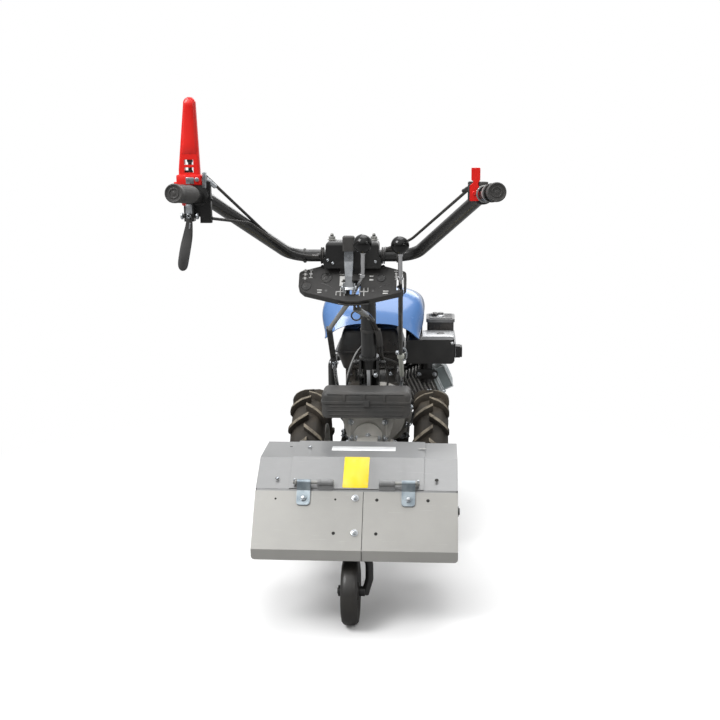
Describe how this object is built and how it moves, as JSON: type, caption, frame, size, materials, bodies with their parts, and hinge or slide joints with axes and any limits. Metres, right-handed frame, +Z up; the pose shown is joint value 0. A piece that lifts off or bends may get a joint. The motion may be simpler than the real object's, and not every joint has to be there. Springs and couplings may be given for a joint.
{
  "type": "garden tiller",
  "caption": "walk-behind two-wheel garden tiller with a petrol engine under a blue bonnet, farm tyres, hooded rotary tiller, depth wheel and tilting handlebar",
  "frame": {"origin": "on the ground under the middle of the length and width over all", "axes": "+X to the walker's right, +Y forward along the direction of travel, +Z up"},
  "size_m": [0.6327, 1.4991, 1.225],
  "materials": {
    "tyre": "dusty black farm tyre rubber",
    "rim_paint": "light grey enamel",
    "axle_steel": "turned steel",
    "cast_alloy": "sand-cast alloy, matt silver",
    "engine_dark": "cast alloy under matt dark paint",
    "cowl_black": "satin black cowl paint",
    "shield_bright": "bright pressed steel",
    "fin_alloy": "raw cast fins",
    "rocker_silver": "silver paint on alloy",
    "tank_black": "black moulded tank",
    "heat_black": "heat-proof black",
    "black_plastic": "grained black plastic",
    "bonnet_blue": "blue moulded plastic",
    "tube_black": "satin black powder coat",
    "zinc": "zinc plate",
    "grip_rubber": "dark grey rubber",
    "red_plastic": "red moulded plastic",
    "knob_black": "polished black",
    "panel_dark": "dark grained plate with white shift marks",
    "hood_silver": "silver-grey enamel",
    "flap_silver": "light silver-grey enamel",
    "tine_paint": "black enamel on spring steel",
    "depth_rubber": "solid rubber"
  },
  "bodies": {
    "chassis": {"wheel_axle": "axle_steel", "gearbox": "cast_alloy", "bell_housing": "cast_alloy", "engine_block": "engine_dark", "cylinder": "fin_alloy", "rocker_cover": "rocker_silver", "recoil_starter": "cowl_black", "fan_shroud": "cowl_black", "fuel_tank": "tank_black", "fuel_cap": "black_plastic", "muffler": "heat_black", "muffler_shield": "shield_bright", "cleaner_lid": "black_plastic", "engine_cables": "black_plastic", "air_cleaner": "black_plastic", "carburettor": "cast_alloy", "bonnet": "bonnet_blue", "engine_rails": "tube_black", "front_guard": "tube_black", "column": "tube_black", "column_foot": "tube_black", "handle_clamp": "tube_black", "lock_lever": "zinc", "lock_grip": "grip_rubber", "panel": "panel_dark", "ball_knobs": "knob_black", "shift_rods": "tube_black", "selector_rods": "zinc", "toolbox": "black_plastic", "tiller_case": "cast_alloy", "hood_centre": "hood_silver", "hood_wing_left": "hood_silver", "hood_wing_right": "hood_silver", "hinge_pins": "zinc", "depth_arm": "tube_black", "depth_bracket": "tube_black"},
    "wheel_left": {"tyre_left": "tyre", "rim_left": "rim_paint"},
    "wheel_right": {"tyre_right": "tyre", "rim_right": "rim_paint"},
    "depth_wheel": {"depth_wheel": "depth_rubber"},
    "rotor": {"rotor_shaft": "tine_paint", "tine_reel_left": "tine_paint", "tine_reel_right": "tine_paint"},
    "flap": {"flap_left": "flap_silver", "flap_right": "flap_silver", "flap_leaves": "zinc"},
    "handlebar": {"handlebar": "tube_black", "grip_left": "grip_rubber", "grip_right": "grip_rubber", "stop_lever": "red_plastic", "lever_bracket": "zinc", "squeeze_lever": "tube_black", "throttle_case": "black_plastic", "throttle_lever": "red_plastic", "handle_cables": "black_plastic"}
  },
  "joints": [
    {"name": "wheel_left_spin", "type": "hinge", "parent": "chassis", "child": "wheel_left", "pos_m": [-0.173, 0.33, 0.203], "axis": [1, 0, 0], "continuous": true},
    {"name": "wheel_right_spin", "type": "hinge", "parent": "chassis", "child": "wheel_right", "pos_m": [0.173, 0.33, 0.203], "axis": [1, 0, 0], "continuous": true},
    {"name": "depth_wheel_spin", "type": "hinge", "parent": "chassis", "child": "depth_wheel", "pos_m": [-0.012, -0.312, 0.08], "axis": [1, 0, 0], "continuous": true},
    {"name": "rotor_spin", "type": "hinge", "parent": "chassis", "child": "rotor", "pos_m": [0, -0.137, 0.226], "axis": [1, 0, 0], "continuous": true},
    {"name": "flap_lift", "type": "hinge", "parent": "chassis", "child": "flap", "pos_m": [0, -0.27018, 0.33525], "axis": [-1, 0, 0], "range_deg": [0, 100]},
    {"name": "handlebar_tilt", "type": "hinge", "parent": "chassis", "child": "handlebar", "pos_m": [0, -0.297, 0.879], "axis": [-1, 0, 0], "range_deg": [-15, 15]}
  ]
}
